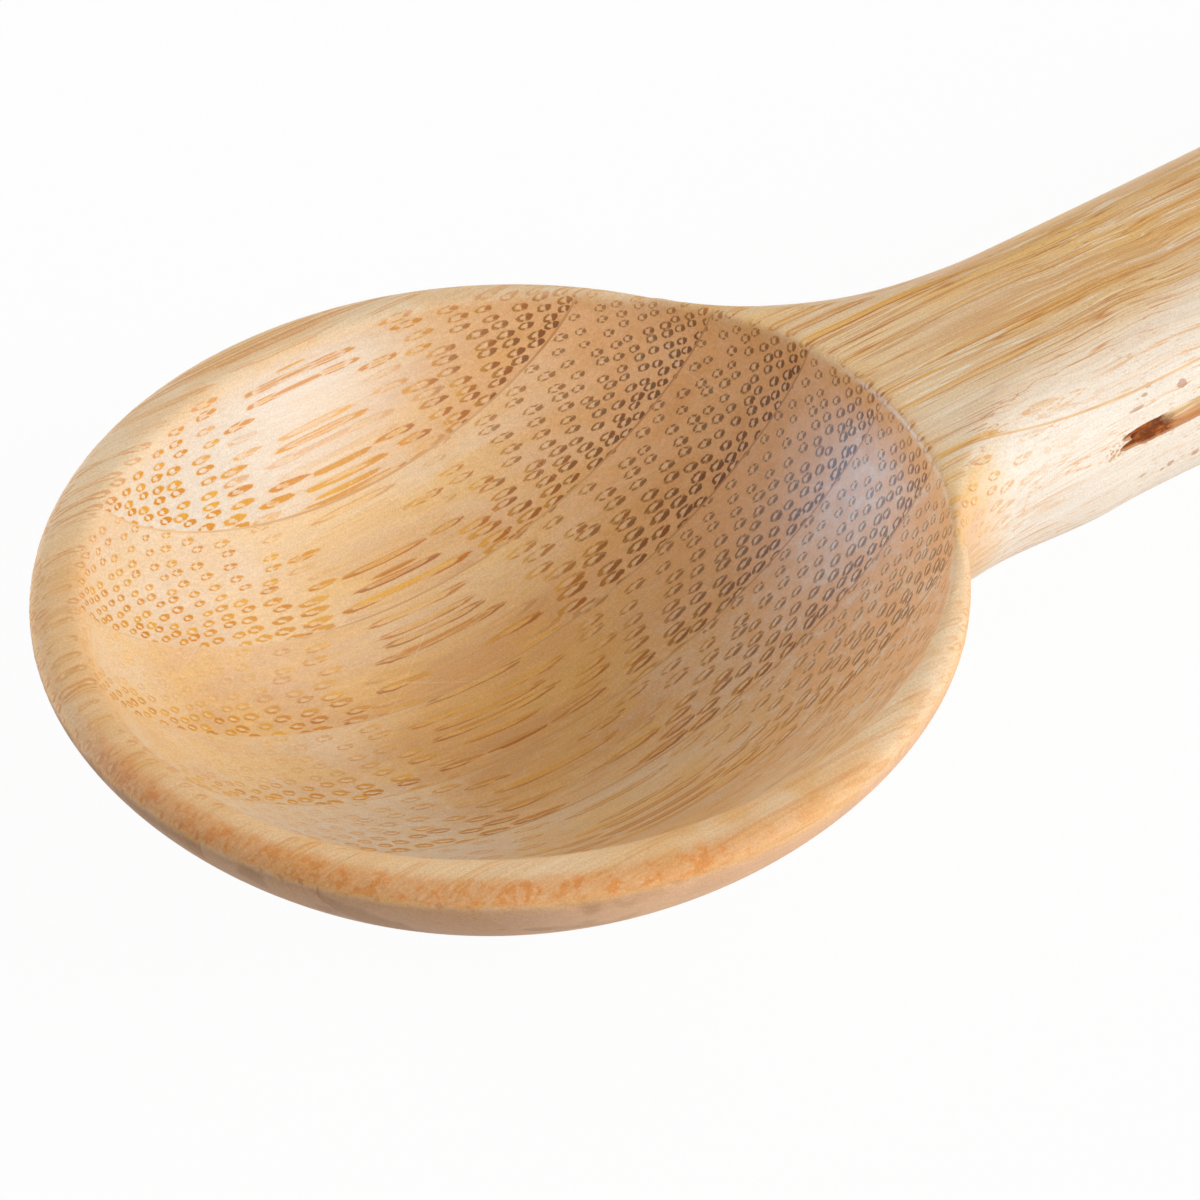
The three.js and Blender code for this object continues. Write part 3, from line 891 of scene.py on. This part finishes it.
def bamboo_material(number, near_y, groups, grooved):
    material, kit, surface = new_material(f"bamboo_strip_{number}_grain")
    place = kit.object_place()
    facing = kit.add("ShaderNodeNewGeometry").outputs["Normal"]
    seed = SEED_STEP * number
    zones = place_group(kit, groups["zones"], Place=place, Facing=facing)
    strip_tone, bundle_strength, fineness, tip_fade, key_lit_paleness = STRIP_LOOKS[number - 1]
    bundles = place_group(kit, groups["bundles"], Place=place, Near_Face=near_y, Seed=seed,
                          Fineness=fineness, Along_Grain=zones["Along Grain"], Far_Cap=zones["Far Cap"])
    fibres = place_group(kit, groups["fibres"], Place=bundles["Bent"], Seed=seed)
    flecks = place_group(kit, groups["flecks"], Place=place, Flank=zones["Flank"])
    scratch = place_group(kit, groups["scratches"], Place=place)["Scratch"]
    x, y, _ = kit.parts(place)

    tone = kit.plus(kit.ramp(fibres["Tone"], 0.3, 0.7, -0.25, 0.25), strip_tone)
    tone = kit.plus(tone, kit.ramp(bundles["Share"], 0.0, 0.9, 0.08, -0.08))
    floor = kit.times(zones["Along Grain"], zones["Bowl"], kit.band(y, -4.0, 3.0, 7.0))
    tone = kit.maths("MULTIPLY_ADD", floor, 0.45, tone, clamp=True)
    ground = kit.blend(tone, PALE_GROUND, TAN_GROUND)
    ground = kit.blend(kit.ramp(fibres["Gold"], 0.36, 0.66, 0.0, 0.6), ground, GOLD_GROUND)
    # Painted highlight: bowl walls that face the key light turn pale
    ground = kit.blend(kit.times(zones["Key Lit Wall"], key_lit_paleness), ground, KEY_LIT_PALE_GROUND)
    # Painted shade: the bowl wall at the handle's end faces away from the key light and gets a more
    # orange-brown ground
    shaded_end_ground = kit.blend(kit.ramp(fibres["Gold"], 0.45, 0.7, 0.0, 0.5), SHADED_END_GROUND, SHADED_END_DARK)
    golden_top = kit.times(zones["Handle Top"], kit.ramp(fibres["Gold"], 0.3, 0.7, 0.0, 0.4),
                           kit.ramp(x, 28.0, 42.0, 0.2, 1.0))
    ground = kit.blend(golden_top, ground, GOLD_GROUND)
    pale_neck = kit.times(zones["Handle Top"], kit.ramp(x, 30.0, 40.0, 0.35, 0.0))
    ground = kit.blend(pale_neck, ground, PALE_GROUND)
    # Painted highlight: the near edge of the handle's top and the handle's near side face the key light and
    # turn cream
    key_lit_near_top = kit.times(zones["Handle Top"], kit.ramp(y, -9.0, 1.0, 0.45, 0.0))
    ground = kit.blend(key_lit_near_top, ground, KEY_LIT_CREAM)
    for zone, amount, paint in (("End Wall", 0.75, shaded_end_ground), ("Flank", 0.95, KEY_LIT_CREAM)):
        ground = kit.blend(kit.times(zones[zone], amount), ground, paint)
    ground = add_rim_colours(kit, place, zones, fibres["Blotch"], fibres["Veil"], ground)
    veil = kit.maths("MULTIPLY_ADD", fibres["Veil"], 0.8, kit.ramp(x, -16.0, -2.0, 0.8, 0.12))
    on_walls = kit.blend_number(zones["Along Grain"], 1.0, 0.4)
    veil = kit.times(veil, kit.ramp(y, -8.0, 4.0, 0.8, 0.1), on_walls, zones["Bowl"])
    ground = kit.blend(veil, ground, VEIL)

    dark_end = kit.blend(bundles["Chance"], UMBER_CAP, ORANGE_CAP)
    light_end = kit.blend(bundles["Chance"], ORANGE_CAP, GOLD_CAP)
    cap = kit.blend(bundles["Turn"], dark_end, light_end)
    # Painted shade: darker brown caps on the wall at the handle's end, which faces away from the key light
    cap = kit.blend(zones["End Wall"], cap, kit.blend(bundles["Chance"], SHADED_BROWN_CAP, SHADED_CHESTNUT_CAP))
    # Painted light: on the bowl walls lit by the key light, the wall at the tip and the walls facing the
    # key, the caps turn lighter and yellower and show more strongly
    key_lit_cap = kit.blend(bundles["Chance"], KEY_LIT_CAP, KEY_LIT_YELLOW_CAP)
    key_lit_walls = kit.larger(zones["Tip Wall"], kit.ramp(zones["Key Lit Wall"], 0.0, 0.5))
    cap = kit.blend(key_lit_walls, cap, key_lit_cap)
    cap = kit.blend(zones["Rim"], cap, RIM_CAP)
    cap = kit.blend(zones["Flank"], cap, FLANK_RING)

    cap_strength = kit.ramp(bundles["Share"], 0.0, 1.0, bundle_strength, 0.7 * bundle_strength, "LINEAR")
    kept = kit.blend_number(zones["Along Grain"], 1.0, kit.ramp(bundles["Rank"], 0.15, 0.42, 0.2, 1.0))
    sparse_fade = kit.ramp(bundles["Share"], 0.12, 0.5, 1.0, 1.0 - tip_fade)
    kept = kit.times(kept, kit.blend_number(zones["Tip Wall"], 1.0, sparse_fade))
    flank_share = kit.blend_number(zones["Along Grain"], 1.0, 0.15)
    for zone, share in (("Rim", 0.6), ("Outside", 0.15), ("Flank", flank_share)):
        kept = kit.times(kept, kit.blend_number(zones[zone], 1.0, share))
    kept = kit.times(kept, kit.blend_number(key_lit_walls, 1.0, 1.35))
    cap_strength = kit.times(cap_strength, kept)

    stroke_core = kit.blend(kit.ramp(bundles["Rank"], 0.4, 0.7), GOLD_CORE, light_end)
    core = kit.blend(zones["Along Grain"], PALE_CORE, stroke_core)
    core_strength = kit.blend_number(zones["End Wall"], 0.3, 0.5)
    core_strength = kit.blend_number(zones["Along Grain"], core_strength, 0.8)
    base = kit.blend(kit.times(bundles["Core"], core_strength, cap_strength), ground, core)
    base = kit.blend(kit.times(bundles["Halo"], cap_strength, 0.3), base, HALO)
    base = kit.blend(kit.times(bundles["Caps"], cap_strength), base, cap)
    for line, cluster, paint in (("Dark Line", "Gold", DARK_STREAK), ("Pale Line", "Tone", PALE_STREAK)):
        clusters = kit.ramp(fibres[cluster], 0.38, 0.62, 0.15, 0.8)
        base = kit.blend(kit.times(fibres[line], clusters, zones["Handle Top"]), base, paint)
    clusters = kit.ramp(fibres["Gold"], 0.36, 0.58, 0.1, 0.7)
    drawn = kit.times(fibres["Dark Line"], clusters, zones["Flank"], zones["Along Grain"])
    base = kit.blend(drawn, base, FLANK_CAP)
    fibre_depth = kit.blend_number(zones["Handle Top"], 0.94, 0.90)
    fibre_shade = kit.ramp(fibres["Fibre"], 0.25, 0.75, fibre_depth, 1.07, "LINEAR")
    speckle_shade = kit.ramp(fibres["Speckle"], 0.2, 0.8, 0.84, 1.13, "LINEAR")
    shade = kit.times(fibre_shade, speckle_shade)
    warm_shade = kit.joined(shade, kit.maths("POWER", shade, 1.3), kit.maths("POWER", shade, 1.7))
    base = kit.blend(1.0, base, warm_shade, "MULTIPLY")
    base = kit.blend(kit.times(flecks["Fleck"], 0.45), base, FLECK_COLOUR)
    base = kit.blend(kit.times(flecks["Scar"], 0.6), base, SCAR_COLOUR)
    base = kit.blend(kit.times(scratch, zones["Bowl"], 0.22), base, SCRATCH_COLOUR)
    roughness = kit.ramp(fibres["Fibre"], 0.2, 0.8, 0.36, 0.46)
    worn = kit.larger(zones["Rim"], kit.larger(zones["Outside"], zones["Flank"]))
    roughness = kit.blend_number(worn, roughness, WORN_ROUGHNESS)
    if grooved:
        base, inside = add_groove_colours(kit, place, base)
        roughness = kit.blend_number(inside, roughness, GROOVE_ROUGHNESS)
    tree = kit.tree
    tree.links.new(base, surface["Base Color"])
    tree.links.new(roughness, surface["Roughness"])
    raised = kit.times(bundles["Caps"], kit.blend_number(worn, 0.4, 0.0))
    height = kit.maths("MULTIPLY_ADD", fibres["Fibre"], 0.5, raised)
    bump = kit.add("ShaderNodeBump", {"Height": height, "Strength": BUMP_STRENGTH, "Distance": BUMP_DEPTH})
    tree.links.new(bump.outputs[0], surface["Normal"])
    return material


def glue_material(groups):
    material, kit, surface = new_material("cured_glue")
    place = kit.object_place()
    facing = kit.add("ShaderNodeNewGeometry").outputs["Normal"]
    zones = place_group(kit, groups["zones"], Place=place, Facing=facing)
    fibres = place_group(kit, groups["fibres"], Place=place, Seed=0.0)
    streak = kit.noise(place, (0.25, 0.5, 0.8), detail=2.0)[0]
    facing_x, _, _ = kit.parts(facing)
    base = kit.blend(kit.ramp(streak, 0.35, 0.75), GLUE_PALE, GLUE_BROWN)
    floor = kit.times(zones["Along Grain"], zones["Bowl"])
    base = kit.blend(kit.times(floor, 0.8), base, GLUE_BROWN)
    # Painted shade: darker glue on the wall at the handle's end, which faces away from the key light;
    # painted highlight: paler glue on walls facing the handle's way, such as the lit wall at the tip
    base = kit.blend(kit.times(zones["End Wall"], 0.9), base, GLUE_PAINTED_SHADE)
    base = kit.blend(kit.ramp(facing_x, 0.1, 0.4, 0.0, 0.7), base, GLUE_PALE)
    base = add_rim_colours(kit, place, zones, fibres["Blotch"], fibres["Veil"], base)
    kit.tree.links.new(base, surface["Base Color"])
    worn = kit.larger(zones["Rim"], zones["Outside"])
    roughness = kit.blend_number(worn, kit.ramp(streak, 0.2, 0.8, 0.4, 0.55), WORN_ROUGHNESS)
    kit.tree.links.new(roughness, surface["Roughness"])
    return material


# Studio

FLOOR_SIZE = 4
FLOOR_PAINT = (0.85, 0.85, 0.85, 1)
FLOOR_GLOW = (1, 1, 1, 1)
FLOOR_GLOW_SHARE = 0.96
ROOM_TINT = (1, 0.985, 0.965, 1)
ROOM_LEVEL = 0.10
WINDOW_TINT = (0.12, 0.55, 1.0)


def studio_floor():
    bm = bmesh.new()
    bmesh.ops.create_grid(bm, x_segments=1, y_segments=1, size=FLOOR_SIZE)
    floor = piece_from("studio_floor", bm)
    material = bpy.data.materials.new("white_floor")
    material.use_nodes = True
    tree = material.node_tree
    tree.nodes.remove(tree.nodes["Principled BSDF"])
    kit = Shading(tree)
    path = kit.add("ShaderNodeLightPath").outputs
    mirrored = kit.larger(path["Is Glossy Ray"], path["Is Transmission Ray"])
    seen = kit.larger(path["Is Camera Ray"], mirrored)
    paint = kit.add("ShaderNodeBsdfDiffuse", {"Color": FLOOR_PAINT}).outputs[0]
    glow = kit.add("ShaderNodeEmission", {"Color": FLOOR_GLOW, "Strength": 1.0}).outputs[0]
    glow_share = kit.times(seen, FLOOR_GLOW_SHARE)
    mixed = kit.add("ShaderNodeMixShader", {0: glow_share, 1: paint, 2: glow}).outputs[0]
    tree.links.new(mixed, tree.nodes["Material Output"].inputs["Surface"])
    floor.data.materials.append(material)


def studio_world():
    world = bpy.data.worlds.new("soft_room")
    bpy.context.scene.world = world
    world.use_nodes = True
    kit = Shading(world.node_tree)
    path = kit.add("ShaderNodeLightPath").outputs
    strength = kit.ramp(path["Is Camera Ray"], 0, 1, ROOM_LEVEL, 1.0, "LINEAR")
    background = world.node_tree.nodes["Background"].inputs
    background["Color"].default_value = ROOM_TINT
    world.node_tree.links.new(strength, background["Strength"])


def compass(azimuth, elevation):
    """A direction by its angle from the handle's direction, turning to the far side, and its height."""
    turn = math.radians(azimuth)
    rise = math.radians(elevation)
    return math.cos(turn) * math.cos(rise), math.sin(turn) * math.cos(rise), math.sin(rise)


def soft_lamp(name, direction, distance, size, level, tint=(1, 1, 1)):
    """A square lamp that shines at the bowl; at level 1 it lights a facing white surface to white."""
    lamp = bpy.data.lights.new(name, "AREA")
    lamp.size = size
    lamp.energy = level * math.pi ** 2 * distance ** 2
    lamp.color = tint
    holder = bpy.data.objects.new(name, lamp)
    bpy.context.scene.collection.objects.link(holder)
    towards = Vector(direction).normalized()
    aim = Vector((0, 0, BOARD_THICKNESS * MM))
    holder.location = aim + towards * distance
    holder.rotation_euler = (-towards).to_track_quat("-Z", "Y").to_euler()
    return holder


def studio_camera():
    camera = bpy.data.cameras.new("camera")
    camera.lens = CAMERA_LENS
    camera.sensor_width = SENSOR_WIDTH
    holder = bpy.data.objects.new("camera", camera)
    bpy.context.scene.collection.objects.link(holder)
    place = Vector(CAMERA_PLACE) * MM
    sight = Vector(CAMERA_AIM) * MM - place
    holder.location = place
    turn = sight.to_track_quat("-Z", "Y").to_matrix().to_4x4()
    holder.rotation_euler = (turn @ Matrix.Rotation(math.radians(CAMERA_ROLL), 4, "Z")).to_euler()
    bpy.context.scene.camera = holder


studio_camera()
groups = {
    "zones": zone_group(),
    "bundles": bundle_group(),
    "fibres": fibre_group(),
    "flecks": fleck_group(),
    "scratches": scratch_group(),
}
scoop = carved_scoop()
glue = glue_material(groups)

for node in sorted(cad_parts):
    low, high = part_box(node)
    name = node.replace("bamboo_", "carved_").replace("line", "film")
    piece = slice_of(scoop, name, low.y / MM, high.y / MM)
    if node.startswith("glue"):
        finish_piece(piece, node, glue)
        continue
    number = int(node.rsplit("_", 1)[1])
    grooved = low.y / MM < GROOVE_FLOOR_Y < high.y / MM
    if grooved:
        tool = groove_tool()
        add_cut(piece, tool, "DIFFERENCE", overlapping=True)
        piece = new_piece(name, finished_mesh(piece, tool))
    finish_piece(piece, node, bamboo_material(number, low.y / MM, groups, grooved))

bpy.data.meshes.remove(scoop)

studio_floor()
studio_world()
soft_lamp("key", compass(298, 27), distance=0.7, size=0.42, level=0.83)
far_fill = soft_lamp("far_fill", compass(110, 14), distance=0.7, size=0.36, level=0.7)
far_fill.visible_glossy = False
soft_lamp("right_fill", compass(5, 38), distance=0.7, size=0.4, level=0.22)
soft_lamp("front_fill", compass(215, 40), distance=0.7, size=0.4, level=0.13)
window = soft_lamp("window", compass(127, 21), distance=0.8, size=0.34, level=0.7, tint=WINDOW_TINT)
window.visible_diffuse = False
bpy.context.scene.view_settings.view_transform = "Standard"
